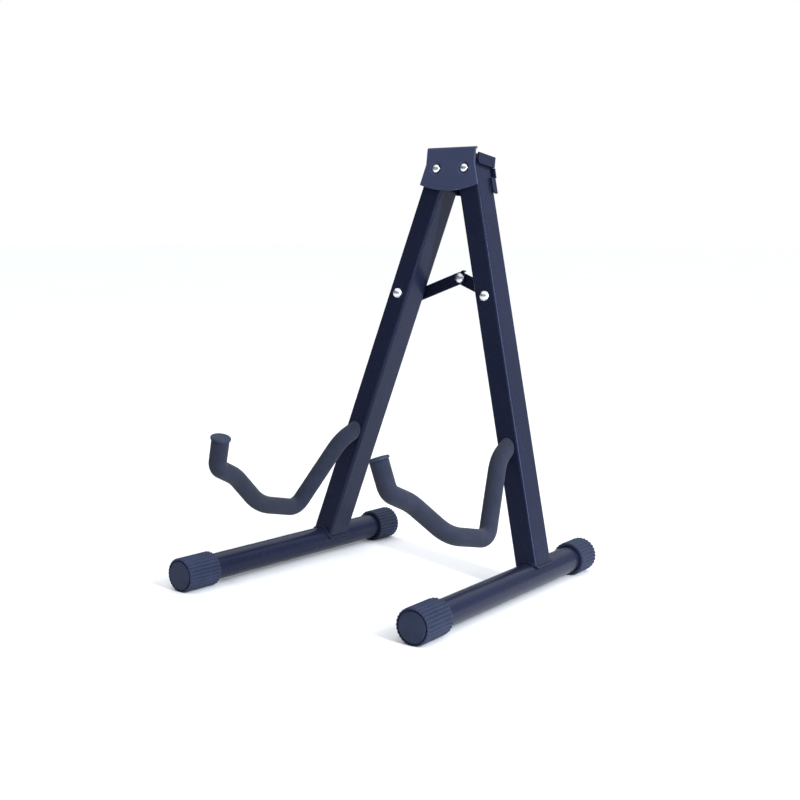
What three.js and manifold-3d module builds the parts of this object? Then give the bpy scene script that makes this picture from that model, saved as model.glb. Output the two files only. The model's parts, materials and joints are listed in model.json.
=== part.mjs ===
// Folding A-frame guitar stand, standing open and ready for a guitar.
// Millimetres. +Z is up, the front is towards -Y, +X is to the right seen from the front.
// The origin is on the floor, under the middle of the stand's footprint.
import * as THREE from 'three';
import { mergeVertices } from 'three/addons/utils/BufferGeometryUtils.js';
import Module from 'manifold-3d';

const wasm = await Module();
wasm.setup();

const { degToRad } = THREE.MathUtils;
const SIDES = [['left', -1], ['right', 1]];
const ROUND = 16;                  // facets round a pin, a hole or a washer
const ROUND_FOAM = 12;
const ROUND_ROD = 8;
const ROUND_TUBE = 24;

// ---- Driving dimensions ---------------------------------------------------------------

const GAP = 0.3;                   // air left between pieces that touch

const LEAN = degToRad(8.4);         // the A-frame leans back from the vertical
const OPENING = degToRad(16);      // each leg swings this far out from the middle

const PIVOT_HALF = 16.6;           // leg pivots, each side of the middle
const LEG_LENGTH = 398.5;          // leg pivot to the axis of the base tube
const LEG_WIDTH = 23;
const LEG_DEPTH = 29.4;
const LEG_CORNER = 3;
const LEG_WALL = 1.5;
const LEG_TOP = 12;                // tube above its pivot

const BASE_RADIUS = 12.7;          // one-inch round tube
const BASE_WALL = 1.2;
const FRONT_REACH = 207;           // leg axis to the outer face of the front foot cap
const REAR_REACH = 97;             // leg axis to the outer face of the rear foot cap

const CAP_RADIUS = 16.4;           // over the ribs
const CAP_FLAT = 15.8;             // tube axis to the flat land under each cap
const CAP_RIBS = 28;
const CAP_RIB_DEPTH = 0.8;
const CAP_END = 4;                 // solid end of a cap
const FRONT_CAP_LENGTH = 38.5;
const REAR_CAP_LENGTH = 30;

const PLATE = 2;                   // head plate thickness
const PLATE_SETBACK = 16.2;        // leg mid-plane to the near face of each head plate
const PLATE_TOP = 21;
const PLATE_HALF_TOP = 28.75;
const PLATE_KINK = 4;              // height where the plates start to flare with the legs
const PLATE_HALF_FOOT = 34.5;
const PLATE_FOOT = -16;
const PLATE_BELLY = -22;           // lowest point of the curved lower edge
const LIP = 4;                     // rolled top edge of the front plate
const DIMPLE_RADIUS = 6.4;
const DIMPLE_DEPTH = 1.2;

const BACK_TOP = 16;
const BACK_HALF_TOP = 30.5;
const BACK_HALF_FOOT = 36;
const FOLD_STOP_LOW = 5.5;         // lower edge of the flanges that stop the legs when folded
const FOLD_STOP_FRONT = 12.9;
const OPEN_STOP_INSIDE = 12.1;     // leg mid-plane to the tab that stops an open leg
const OPEN_STOP_HIGH = -9;
const OPEN_STOP_LOW = -25;
const OPEN_STOP_FRONT = -9;

const PIVOT_SHANK = 3.2;
const PIVOT_HEAD = 4.6;
const RIVET_SHANK = 3;
const RIVET_HEAD = 5.2;
const WASHER_RADIUS = 7.5;

const LINK_PIVOT = 129.6;          // leg pivot to link pivot, along the leg
const LINK_LENGTH = 56;            // link pivot to knee
const LINK_HALF = 6.2;
const LINK_PLATE = 2;
const LEFT_LINK_FRONT = -16;       // front face of the left link, from the leg mid-plane
const RIGHT_LINK_FRONT = -19.3;    // front face of the right link
const KNEE_SHANK = 2.6;
const KNEE_HEAD = 5;

const ARM_ROD = 4;
const ARM_FOAM = 8.5;
const ARM_CAP = 9.5;
const ARM_STEPS = 34;
const ARM_TOE = degToRad(1.55);     // the arms turn in towards each other
const ARM_CLEAR = 0.6;             // air between an arm's root and its leg
// Corners of an arm's centre line: drop below the leg pivot, reach in front of the leg's
// mid-plane, and the bend radius at the corner.
const ARM_CORNERS = [
  [274, 7.5, 0],
  [288.5, 32, 45],
  [362.5, 70.5, 16],
  [357.5, 128.5, 70],
  [327.5, 175.5, 60],
  [318.5, 204, 11.5],
  [291, 210.5, 0],
];

// ---- Worked out from them -------------------------------------------------------------

const SPLAY = Math.atan(Math.sin(LEAN) * Math.tan(OPENING));
const BASE_X = PIVOT_HALF + LEG_LENGTH * Math.sin(OPENING);
const HEAD_Z = CAP_FLAT + LEG_LENGTH * Math.cos(LEAN) * Math.cos(OPENING);
const HEAD_BACK = LEG_LENGTH * Math.sin(LEAN) * Math.cos(OPENING);
const CENTRE_SHIFT = (FRONT_REACH - REAR_REACH) / 2 * Math.cos(SPLAY);

// The base tube runs down towards the front as seen along the leg.
const BASE_PITCH = Math.atan2(
  Math.sin(OPENING) * Math.sin(SPLAY) + Math.sin(LEAN) * Math.cos(OPENING) * Math.cos(SPLAY),
  Math.cos(SPLAY) * Math.cos(LEAN),
);

const LINK_X = PIVOT_HALF + LINK_PIVOT * Math.sin(OPENING);
const LINK_Z = -LINK_PIVOT * Math.cos(OPENING);
const LINK_ANGLE = Math.acos(LINK_X / LINK_LENGTH);

// ---- Materials ------------------------------------------------------------------------

function material(color, roughness, metalness) {
  return () => new THREE.MeshStandardMaterial({ color, roughness, metalness });
}

const paint = material(0x1b2030, 0.35, 0.2);
const foam = material(0x2b2f3a, 0.95, 0);
const rubber = material(0x22283a, 0.75, 0);
const zinc = material(0xc9ced8, 0.25, 0.9);
const nylon = material(0x15181f, 0.55, 0);

// ---- Solids ---------------------------------------------------------------------------

function toSolid(geometry) {
  const bare = geometry.index ? geometry.toNonIndexed() : geometry.clone();
  bare.deleteAttribute('normal');
  bare.deleteAttribute('uv');
  const merged = mergeVertices(bare, 1e-4);
  const index = merged.index.array;
  const triangles = [];
  for (let i = 0; i < index.length; i += 3) {
    const [a, b, c] = [index[i], index[i + 1], index[i + 2]];
    if (a !== b && b !== c && c !== a) triangles.push(a, b, c);
  }
  return new wasm.Manifold(new wasm.Mesh({
    numProp: 3,
    vertProperties: new Float32Array(merged.attributes.position.array),
    triVerts: new Uint32Array(triangles),
  }));
}

function toGeometry(solid) {
  const mesh = solid.getMesh();
  const geometry = new THREE.BufferGeometry();
  geometry.setAttribute('position', new THREE.BufferAttribute(mesh.vertProperties, 3));
  geometry.setIndex(new THREE.BufferAttribute(mesh.triVerts, 1));
  geometry.computeVertexNormals();
  return geometry;
}

// An upright outline (across, up), extruded between two distances in front of the mid-plane.
function slab(shape, back, front, curveSegments = 12) {
  const geometry = new THREE.ExtrudeGeometry(shape, {
    depth: front - back, bevelEnabled: false, curveSegments,
  });
  geometry.rotateX(Math.PI / 2);
  geometry.translate(0, -back, 0);
  return toSolid(geometry);
}

// A solid of revolution about the front-to-back axis. Its profile lists radius and distance
// in front of the mid-plane, from back to front.
function turned(profile, across = 0, up = 0, segments = ROUND) {
  const points = profile.map(([radius, front]) => new THREE.Vector2(radius, front));
  const geometry = new THREE.LatheGeometry(points, segments);
  geometry.rotateZ(Math.PI);
  geometry.translate(across, 0, up);
  return toSolid(geometry);
}

function pin(radius, back, front, across = 0, up = 0) {
  return turned([[0, back], [radius, back], [radius, front], [0, front]], across, up);
}

function ring(outer, inner, back, front) {
  return pin(outer, back, front).subtract(pin(inner, back - 1, front + 1));
}

function block(xLow, xHigh, back, front, zLow, zHigh) {
  const geometry = new THREE.BoxGeometry(xHigh - xLow, front - back, zHigh - zLow);
  geometry.translate((xLow + xHigh) / 2, -(back + front) / 2, (zLow + zHigh) / 2);
  return toSolid(geometry);
}

// A domed rivet: head at the front, plain shank, domed tail at the back.
function rivet({ head, rise, headSeat, shank, tail, tailRise, tailSeat }) {
  const profile = [[0, tailSeat - tailRise]];
  const rings = 3;
  for (let i = 1; i <= rings; i += 1) {
    const turn = i / rings * Math.PI / 2;
    profile.push([tail * Math.sin(turn), tailSeat - tailRise * Math.cos(turn)]);
  }
  profile.push([shank, tailSeat], [shank, headSeat]);
  for (let i = 0; i <= rings; i += 1) {
    const turn = i / rings * Math.PI / 2;
    profile.push([head * Math.cos(turn), headSeat + rise * Math.sin(turn)]);
  }
  return turned(profile);
}

function roundedRectangle(width, height, corner, path = new THREE.Shape()) {
  const [x, y] = [width / 2, height / 2];
  path.moveTo(x, -y + corner);
  path.lineTo(x, y - corner);
  path.absarc(x - corner, y - corner, corner, 0, Math.PI / 2);
  path.lineTo(-x + corner, y);
  path.absarc(-x + corner, y - corner, corner, Math.PI / 2, Math.PI);
  path.lineTo(-x, -y + corner);
  path.absarc(-x + corner, -y + corner, corner, Math.PI, Math.PI * 1.5);
  path.lineTo(x - corner, -y);
  path.absarc(x - corner, -y + corner, corner, -Math.PI / 2, 0);
  return path;
}

// A circle as a polygon, so that one tube's bore and outside can have different facets.
function circle(radius, facets, path = new THREE.Shape()) {
  for (let i = 0; i < facets; i += 1) {
    const angle = i / facets * Math.PI * 2;
    const [x, y] = [radius * Math.cos(angle), radius * Math.sin(angle)];
    if (i) path.lineTo(x, y);
    else path.moveTo(x, y);
  }
  path.closePath();
  return path;
}

// ---- Head plates ----------------------------------------------------------------------

// The outline both plates share: straight sides, a flare that follows the open legs, and a
// lower edge that is one arc.
function plateOutline(top, halfTop, halfFoot) {
  const sag = PLATE_FOOT - PLATE_BELLY;
  const radius = (halfFoot * halfFoot + sag * sag) / (2 * sag);
  const centre = PLATE_BELLY + radius;
  const turn = Math.asin(halfFoot / radius);
  const shape = new THREE.Shape();
  shape.moveTo(halfTop, PLATE_KINK);
  shape.lineTo(halfTop, top);
  shape.lineTo(-halfTop, top);
  shape.lineTo(-halfTop, PLATE_KINK);
  shape.lineTo(-halfFoot, PLATE_FOOT);
  shape.absarc(0, centre, radius, -Math.PI / 2 - turn, -Math.PI / 2 + turn);
  shape.closePath();
  return shape;
}

function frontPlate() {
  const face = PLATE_SETBACK + PLATE;
  let plate = slab(plateOutline(PLATE_TOP, PLATE_HALF_TOP, PLATE_HALF_FOOT), PLATE_SETBACK, face);
  const lip = block(-PLATE_HALF_TOP, PLATE_HALF_TOP, face - LIP, face, PLATE_TOP - PLATE, PLATE_TOP);
  plate = plate.add(lip);
  for (const [, side] of SIDES) {
    const x = side * PIVOT_HALF;
    plate = plate.subtract(pin(PIVOT_SHANK + GAP, PLATE_SETBACK - 1, face + 1, x));
    const dimple = turned([
      [0, face - DIMPLE_DEPTH],
      [PIVOT_HEAD + GAP, face - DIMPLE_DEPTH],
      [DIMPLE_RADIUS, face],
      [DIMPLE_RADIUS, face + 1],
      [0, face + 1],
    ], x);
    plate = plate.subtract(dimple);
  }
  return plate;
}

// A flange bent forward beside a leg top. It stops the leg when the stand is folded.
function foldStop(side) {
  const corner = 3;
  const shape = new THREE.Shape();
  shape.moveTo(-PLATE_SETBACK - PLATE, FOLD_STOP_LOW);
  shape.lineTo(FOLD_STOP_FRONT - corner, FOLD_STOP_LOW);
  shape.absarc(FOLD_STOP_FRONT - corner, FOLD_STOP_LOW + corner, corner, -Math.PI / 2, 0);
  shape.lineTo(FOLD_STOP_FRONT, BACK_TOP);
  shape.lineTo(-PLATE_SETBACK - PLATE, BACK_TOP);
  const geometry = new THREE.ExtrudeGeometry(shape, {
    depth: PLATE, bevelEnabled: false, curveSegments: 5,
  });
  // The outline's first direction runs forward and its second runs up.
  geometry.rotateX(Math.PI / 2);
  geometry.rotateZ(-Math.PI / 2);
  geometry.translate(side > 0 ? BACK_HALF_TOP : PLATE - BACK_HALF_TOP, 0, 0);
  return toSolid(geometry);
}

// A tab bent forward below the pivot, lying along the open leg. It stops the leg there.
function openStop(side) {
  const depth = PLATE_SETBACK + PLATE + OPEN_STOP_FRONT;
  const shape = new THREE.Shape();
  shape.moveTo(-PLATE_SETBACK - PLATE, OPEN_STOP_HIGH);
  shape.lineTo(-PLATE_SETBACK - PLATE, OPEN_STOP_LOW + depth / 2);
  shape.absarc(OPEN_STOP_FRONT - depth / 2, OPEN_STOP_LOW + depth / 2, depth / 2, Math.PI, Math.PI * 2);
  shape.lineTo(OPEN_STOP_FRONT, OPEN_STOP_HIGH);
  const geometry = new THREE.ExtrudeGeometry(shape, {
    depth: PLATE, bevelEnabled: false, curveSegments: 8,
  });
  geometry.rotateX(Math.PI / 2);
  geometry.rotateZ(-Math.PI / 2);
  geometry.translate(side > 0 ? OPEN_STOP_INSIDE + PLATE : -OPEN_STOP_INSIDE, 0, 0);
  geometry.rotateY(-side * OPENING);
  geometry.translate(side * PIVOT_HALF, 0, 0);
  return toSolid(geometry);
}

function backPlate() {
  const [back, front] = [-PLATE_SETBACK - PLATE, -PLATE_SETBACK];
  let plate = slab(plateOutline(BACK_TOP, BACK_HALF_TOP, BACK_HALF_FOOT), back, front);
  for (const [, side] of SIDES) {
    plate = plate.add(foldStop(side));
    plate = plate.add(openStop(side));
    plate = plate.subtract(pin(PIVOT_SHANK + GAP, back - 1, front + 1, side * PIVOT_HALF));
  }
  return plate;
}

function pivotRivet() {
  const face = PLATE_SETBACK + PLATE;
  return rivet({
    head: PIVOT_HEAD,
    rise: 2,
    headSeat: face - DIMPLE_DEPTH + GAP,
    shank: PIVOT_SHANK,
    tail: 5,
    tailRise: 1.8,
    tailSeat: -face - GAP,
  });
}

function pivotWasher(facing) {
  const [near, far] = [LEG_DEPTH / 2 + GAP, PLATE_SETBACK - GAP];
  const [back, front] = facing > 0 ? [near, far] : [-far, -near];
  return ring(WASHER_RADIUS, PIVOT_SHANK + GAP, back, front);
}

// ---- Legs -----------------------------------------------------------------------------

// Rectangular tube, drilled for its two rivets and coped to sit on the round base tube.
function legTube() {
  const shape = roundedRectangle(LEG_WIDTH, LEG_DEPTH, LEG_CORNER);
  const bore = roundedRectangle(
    LEG_WIDTH - 2 * LEG_WALL, LEG_DEPTH - 2 * LEG_WALL, LEG_CORNER - LEG_WALL, new THREE.Path(),
  );
  shape.holes.push(bore);
  const start = -LEG_LENGTH + 3;
  const geometry = new THREE.ExtrudeGeometry(shape, {
    depth: LEG_TOP - start, bevelEnabled: false, curveSegments: 3,
  });
  geometry.translate(0, 0, start);
  const cope = new THREE.CylinderGeometry(BASE_RADIUS + GAP, BASE_RADIUS + GAP, 60, ROUND_TUBE);
  cope.rotateX(BASE_PITCH);
  cope.translate(0, 0, -LEG_LENGTH);
  return toSolid(geometry)
    .subtract(toSolid(cope))
    .subtract(pin(PIVOT_SHANK + GAP, -LEG_DEPTH, LEG_DEPTH))
    .subtract(pin(RIVET_SHANK + GAP, -LEG_DEPTH, LEG_DEPTH, 0, -LINK_PIVOT));
}

function legPlug() {
  const cover = new THREE.ExtrudeGeometry(roundedRectangle(LEG_WIDTH, LEG_DEPTH, LEG_CORNER), {
    depth: 1.8, bevelEnabled: false, curveSegments: 3,
  });
  cover.translate(0, 0, LEG_TOP + GAP);
  const inset = 2 * (LEG_WALL + GAP);
  const stem = new THREE.ExtrudeGeometry(
    roundedRectangle(LEG_WIDTH - inset, LEG_DEPTH - inset, 1.2),
    { depth: LEG_TOP - 5 + 2 * GAP, bevelEnabled: false, curveSegments: 2 },
  );
  stem.translate(0, 0, 5);
  return toSolid(cover).add(toSolid(stem));
}

// ---- Base tubes and foot caps ---------------------------------------------------------

function baseTube() {
  const shape = circle(BASE_RADIUS, ROUND_TUBE);
  shape.holes.push(circle(BASE_RADIUS - BASE_WALL, ROUND_TUBE, new THREE.Path()));
  const inset = CAP_END + GAP;
  return slab(shape, -REAR_REACH + inset, FRONT_REACH - inset);
}

// A ribbed cup that pushes over a tube end, with a flat land to stand on. Its closed end is
// at the origin and its mouth opens towards the back.
function footCap(length) {
  const ribbed = new THREE.Shape();
  const samples = CAP_RIBS * 4;
  for (let i = 0; i < samples; i += 1) {
    const angle = i / samples * Math.PI * 2;
    const radius = CAP_RADIUS - (i % 4 > 1 ? CAP_RIB_DEPTH : 0);
    const [x, y] = [radius * Math.cos(angle), radius * Math.sin(angle)];
    if (i) ribbed.lineTo(x, y);
    else ribbed.moveTo(x, y);
  }
  ribbed.closePath();
  ribbed.holes.push(circle(BASE_RADIUS + GAP, ROUND_TUBE, new THREE.Path()));
  const rim = CAP_RADIUS - CAP_RIB_DEPTH;
  const end = turned([
    [0, -CAP_END],
    [rim, -CAP_END],
    [rim, -1.2],
    [rim - 1.2, 0],
    [0, 0],
  ], 0, 0, ROUND_TUBE);
  const floor = block(-CAP_RADIUS, CAP_RADIUS, -length - 1, 1, -CAP_RADIUS - 1, -CAP_FLAT);
  return slab(ribbed, -length, -CAP_END).add(end).subtract(floor);
}

// ---- Arms -----------------------------------------------------------------------------

// A flat path with rounded corners, lying in the leg's own front-to-back plane.
class ArmLine extends THREE.Curve {
  constructor(corners) {
    super();
    this.path = new THREE.Path();
    const at = corners.map(([drop, reach]) => new THREE.Vector2(-reach, -drop));
    this.path.moveTo(at[0].x, at[0].y);
    for (let i = 1; i < at.length - 1; i += 1) {
      const arrive = at[i].clone().sub(at[i - 1]).normalize();
      const leave = at[i + 1].clone().sub(at[i]).normalize();
      const bend = Math.sign(arrive.cross(leave));
      const radius = corners[i][2];
      const reachBack = radius * Math.tan(Math.acos(arrive.dot(leave)) / 2);
      const start = at[i].clone().addScaledVector(arrive, -reachBack);
      const inward = new THREE.Vector2(-arrive.y, arrive.x).multiplyScalar(bend * radius);
      const centre = start.clone().add(inward);
      const from = Math.atan2(-inward.y, -inward.x);
      const sweep = bend * Math.acos(arrive.dot(leave));
      this.path.lineTo(start.x, start.y);
      this.path.absarc(centre.x, centre.y, radius, from, from + sweep, bend < 0);
    }
    const last = at[at.length - 1];
    this.path.lineTo(last.x, last.y);
  }

  getPoint(t, target = new THREE.Vector3()) {
    const point = this.path.getPointAt(t);
    return target.set(0, point.x, point.y);
  }
}

const armLine = new ArmLine(ARM_CORNERS);

function alongArm(shape) {
  const geometry = new THREE.ExtrudeGeometry(shape, {
    steps: ARM_STEPS, extrudePath: armLine, bevelEnabled: false,
  });
  // The root is trimmed just short of the front face of the leg.
  const leg = block(-30, 30, -30, LEG_DEPTH / 2 + ARM_CLEAR, -400, -200);
  return toSolid(geometry).subtract(leg);
}

function armRod() {
  return alongArm(circle(ARM_ROD, ROUND_ROD));
}

function armFoam() {
  const shape = circle(ARM_FOAM, ROUND_FOAM);
  shape.holes.push(circle(ARM_ROD + GAP, ROUND_ROD, new THREE.Path()));
  return alongArm(shape);
}

// A shallow cup over the foam's end. It is turned about the front-to-back axis here, and the
// mesh is then tipped to face along the arm's tip.
function armTipCap() {
  const skirt = 3.5;
  const disc = 2.6;
  return turned([
    [0, GAP],
    [ARM_FOAM + GAP, GAP],
    [ARM_FOAM + GAP, -skirt],
    [ARM_CAP, -skirt],
    [ARM_CAP, disc - 0.6],
    [ARM_CAP - 0.8, disc],
    [0, disc],
  ]);
}

// ---- Spreader links -------------------------------------------------------------------

// A flat bar from its leg pivot at the origin to the knee along +X.
function linkBar(front) {
  const shape = new THREE.Shape();
  shape.absarc(0, 0, LINK_HALF, Math.PI / 2, Math.PI * 1.5);
  shape.absarc(LINK_LENGTH, 0, LINK_HALF, -Math.PI / 2, Math.PI / 2);
  shape.closePath();
  const back = front - LINK_PLATE;
  return slab(shape, back, front)
    .subtract(pin(RIVET_SHANK + GAP, back - 1, front + 1))
    .subtract(pin(KNEE_SHANK + GAP, back - 1, front + 1, LINK_LENGTH));
}

// The left link also has a squared nose with an ear bent back over the right link, so the
// knee can't be pushed down past straight.
function leftLink() {
  const tip = LINK_LENGTH + LINK_HALF + 0.3;
  const back = LEFT_LINK_FRONT - LINK_PLATE;
  const nose = block(LINK_LENGTH + 3, tip, back, LEFT_LINK_FRONT, 2, LINK_HALF);
  const ear = block(tip - 1.9, tip, RIGHT_LINK_FRONT - LINK_PLATE, LEFT_LINK_FRONT, 5, LINK_HALF);
  return linkBar(LEFT_LINK_FRONT).add(nose).add(ear);
}

function linkRivet(tailSeat) {
  return rivet({
    head: RIVET_HEAD,
    rise: 3.8,
    headSeat: LEG_DEPTH / 2 + GAP,
    shank: RIVET_SHANK,
    tail: 4.4,
    tailRise: 1.8,
    tailSeat,
  });
}

// The right link rivet is in two parts, because the linkage's loop is opened there: the head
// and shank stay in the leg, and the tail turns with the link.
function rightLinkRivetFront() {
  const cut = block(-20, 20, -40, -LEG_DEPTH / 2 + GAP, -20, 20);
  return linkRivet(-20).subtract(cut);
}

function rightLinkRivetTail() {
  const back = RIGHT_LINK_FRONT - LINK_PLATE - GAP;
  return turned([
    [0, back - 1.8],
    [2.6, back - 1.5],
    [4, back - 0.7],
    [4.4, back],
    [RIVET_SHANK, back],
    [RIVET_SHANK, -LEG_DEPTH / 2 - 2 * GAP],
    [0, -LEG_DEPTH / 2 - 2 * GAP],
  ]);
}

function kneeRivet() {
  return rivet({
    head: KNEE_HEAD,
    rise: 2.2,
    headSeat: LEFT_LINK_FRONT + GAP,
    shank: KNEE_SHANK,
    tail: 4.2,
    tailRise: 1.6,
    tailSeat: RIGHT_LINK_FRONT - LINK_PLATE - GAP,
  });
}

// ---- Assembly -------------------------------------------------------------------------

function put(parent, name, solid, finish) {
  const mesh = new THREE.Mesh(toGeometry(solid), finish());
  mesh.name = name;
  parent.add(mesh);
  return mesh;
}

function nest(parent) {
  const group = new THREE.Group();
  parent.add(group);
  return group;
}

const stand = new THREE.Group();
stand.position.y = CENTRE_SHIFT;

const frame = nest(stand);
frame.position.set(0, HEAD_BACK, HEAD_Z);
frame.rotation.x = -LEAN;

put(frame, 'front_plate', frontPlate(), paint);
put(frame, 'back_plate', backPlate(), paint);

for (const [name, side] of SIDES) {
  const pivot = nest(frame);
  pivot.position.x = side * PIVOT_HALF;
  put(pivot, `${name}_pivot_rivet`, pivotRivet(), zinc);
  put(pivot, `${name}_front_washer`, pivotWasher(1), nylon);
  put(pivot, `${name}_rear_washer`, pivotWasher(-1), nylon);

  const leg = nest(pivot);
  leg.rotation.y = -side * OPENING;
  put(leg, `${name}_leg`, legTube(), paint);
  put(leg, `${name}_leg_plug`, legPlug(), nylon);

  const arm = nest(leg);
  arm.rotation.z = -side * ARM_TOE;
  put(arm, `${name}_arm_rod`, armRod(), paint);
  put(arm, `${name}_arm_foam`, armFoam(), foam);

  const [before, end] = ARM_CORNERS.slice(-2);
  const tipCap = put(arm, `${name}_arm_tip_cap`, armTipCap(), rubber);
  tipCap.position.set(0, -end[1], -end[0]);
  tipCap.rotation.x = -Math.atan2(before[0] - end[0], end[1] - before[1]);

  const linkPivot = nest(leg);
  linkPivot.position.z = -LINK_PIVOT;
  const rivetSolid = side < 0 ? linkRivet(LEFT_LINK_FRONT - LINK_PLATE - GAP) : rightLinkRivetFront();
  put(linkPivot, `${name}_link_rivet`, rivetSolid, zinc);

  const base = nest(stand);
  base.position.set(side * BASE_X, 0, CAP_FLAT);
  base.rotation.z = side * SPLAY;
  put(base, `${name}_base_tube`, baseTube(), paint);
  const frontCap = put(base, `${name}_front_foot_cap`, footCap(FRONT_CAP_LENGTH), rubber);
  frontCap.position.y = -FRONT_REACH;
  const rearCap = put(base, `${name}_rear_foot_cap`, footCap(REAR_CAP_LENGTH), rubber);
  rearCap.position.y = REAR_REACH;
  rearCap.rotation.z = Math.PI;
}

const leftLinkFrame = nest(frame);
leftLinkFrame.position.set(-LINK_X, 0, LINK_Z);
leftLinkFrame.rotation.y = -LINK_ANGLE;
put(leftLinkFrame, 'left_link', leftLink(), paint);
const leftSpacer = ring(WASHER_RADIUS - 1, RIVET_SHANK + GAP, LEFT_LINK_FRONT + GAP, -LEG_DEPTH / 2 - GAP);
put(leftLinkFrame, 'left_link_washer', leftSpacer, nylon);

const knee = nest(leftLinkFrame);
knee.position.x = LINK_LENGTH;
put(knee, 'knee_rivet', kneeRivet(), zinc);
const kneeGap = [RIGHT_LINK_FRONT + GAP, LEFT_LINK_FRONT - LINK_PLATE - GAP];
put(knee, 'knee_washer', ring(LINK_HALF - 0.7, KNEE_SHANK + GAP, ...kneeGap), nylon);

const rightLinkFrame = nest(frame);
rightLinkFrame.position.set(LINK_X, 0, LINK_Z);
rightLinkFrame.rotation.y = Math.PI + LINK_ANGLE;
put(rightLinkFrame, 'right_link', linkBar(RIGHT_LINK_FRONT), paint);
put(rightLinkFrame, 'right_link_rivet_tail', rightLinkRivetTail(), zinc);
const rightSpacer = ring(
  WASHER_RADIUS - 1, RIVET_SHANK + GAP, RIGHT_LINK_FRONT + GAP, -LEG_DEPTH / 2 - GAP,
);
put(rightLinkFrame, 'right_link_spacer', rightSpacer, nylon);

export default stand;
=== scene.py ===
"""Looks of the folding A-frame guitar stand. Every part shape is built in millimetres in the
frame of the piece it belongs to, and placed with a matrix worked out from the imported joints.

In each such frame +X runs across, -Y runs forward and +Z runs up the piece."""
import json
import math
import random

import bmesh
import bpy
from mathutils import Matrix, Vector, noise


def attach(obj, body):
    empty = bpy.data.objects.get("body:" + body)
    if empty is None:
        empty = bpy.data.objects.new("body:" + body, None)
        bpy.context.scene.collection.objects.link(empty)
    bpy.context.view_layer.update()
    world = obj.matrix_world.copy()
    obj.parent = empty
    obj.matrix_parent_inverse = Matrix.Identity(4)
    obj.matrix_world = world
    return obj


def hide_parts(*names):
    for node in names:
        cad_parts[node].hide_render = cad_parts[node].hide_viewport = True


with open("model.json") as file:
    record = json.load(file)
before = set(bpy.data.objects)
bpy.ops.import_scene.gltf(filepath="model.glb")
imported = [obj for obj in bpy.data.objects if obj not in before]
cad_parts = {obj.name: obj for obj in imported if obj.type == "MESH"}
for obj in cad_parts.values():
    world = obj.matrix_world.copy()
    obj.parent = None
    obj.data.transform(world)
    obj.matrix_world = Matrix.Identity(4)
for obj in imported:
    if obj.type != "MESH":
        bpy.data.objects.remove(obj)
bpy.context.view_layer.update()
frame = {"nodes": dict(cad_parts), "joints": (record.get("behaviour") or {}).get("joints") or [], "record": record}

MM = 0.001
LEFT, RIGHT = -1, 1
SIDES = (("left", LEFT), ("right", RIGHT))

# ---- Sizes in millimetres -----------------------------------------------------------------
# They are the CAD source's, apart from those under "Only in the looks" below.

GAP = 0.3
LEG_LENGTH = 398.5
LEG_WIDTH, LEG_DEPTH, LEG_CORNER, LEG_WALL = 23, 29.4, 3, 1.5
LEG_TOP = 12
BASE_RADIUS, BASE_WALL = 12.7, 1.2
FRONT_REACH, REAR_REACH = 207, 97
CAP_RADIUS, CAP_FLAT, CAP_RIBS, CAP_END = 16.4, 15.8, 28, 4
FRONT_CAP_LENGTH, REAR_CAP_LENGTH = 38.5, 30

PLATE, PLATE_SETBACK = 2, 16.2
PLATE_TOP, PLATE_KINK, PLATE_FOOT, PLATE_BELLY = 21, 4, -16, -22
PLATE_HALF_TOP, PLATE_HALF_FOOT = 28.75, 34.5
LIP = 4
BACK_TOP, BACK_HALF_TOP, BACK_HALF_FOOT = 16, 30.5, 36
FOLD_STOP_LOW, FOLD_STOP_FRONT = 5.5, 12.9
OPEN_STOP_INSIDE, OPEN_STOP_HIGH, OPEN_STOP_LOW, OPEN_STOP_FRONT = 12.1, -9, -25, -9

PIVOT_SHANK, DIMPLE_RADIUS, DIMPLE_DEPTH = 3.2, 6.4, 1.2
RIVET_SHANK, RIVET_HEAD = 3, 5.2
WASHER_RADIUS = 7.5
LINK_HALF, LINK_PLATE = 6.2, 2
LEFT_LINK_FRONT, RIGHT_LINK_FRONT = -16, -19.3
KNEE_SHANK, KNEE_HEAD = 2.6, 5

ARM_ROD, ARM_FOAM, ARM_CAP = 4, 8.5, 9.5
ARM_TOE = math.radians(1.55)
ARM_CORNERS = (
    (274, 7.5, 0),
    (288.5, 32, 45),
    (362.5, 70.5, 16),
    (357.5, 128.5, 70),
    (327.5, 175.5, 60),
    (318.5, 204, 11.5),
    (291, 210.5, 0),
)

# Only in the looks: the CAD has wider pivot heads, shallower rib grooves and square bends.
PIVOT_HEAD = 4.15
RIB_GROOVE = 1.05
LIP_BEND = 2.4
EDGE = 0.4
PRESS_DEPTH = DIMPLE_DEPTH + 0.5
WELD_RADIUS = 1.35
WELD_RIPPLE = 0.16

# ---- Frames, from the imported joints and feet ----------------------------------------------

JOINTS = {joint["name"]: joint for joint in frame["joints"]}
MOUNTS = {mount["name"]: mount for mount in frame["record"]["mounts"]}


def mirrored(point, side):
    """The left side's point, moved to the side asked for."""
    return Vector((point[0] if side == LEFT else -point[0], point[1], point[2]))


def placed(origin, back, up):
    """Matrix of a frame at origin, whose +Z is up and whose +Y is back. Its units are mm."""
    across = back.cross(up)
    rows = [(across[i] * MM, back[i] * MM, up[i] * MM, origin[i]) for i in range(3)]
    return Matrix((*rows, (0, 0, 0, 1)))


PIVOT = Vector(JOINTS["left_leg_fold"]["pos_m"])
LINK_PIVOT = Vector(JOINTS["left_link_fold"]["pos_m"])
KNEE = Vector(JOINTS["right_link_fold"]["pos_m"])
FORWARD = Vector(JOINTS["left_leg_fold"]["axis"]).normalized()
HEAD_UP = Vector((1, 0, 0)).cross(-FORWARD)
HEAD = placed(Vector((0, PIVOT.y, PIVOT.z)), -FORWARD, HEAD_UP)
PIVOT_HALF = -PIVOT.x / MM
LINK_DROP = (LINK_PIVOT - PIVOT).length / MM
LINK_LENGTH = (KNEE - LINK_PIVOT).length / MM


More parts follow.
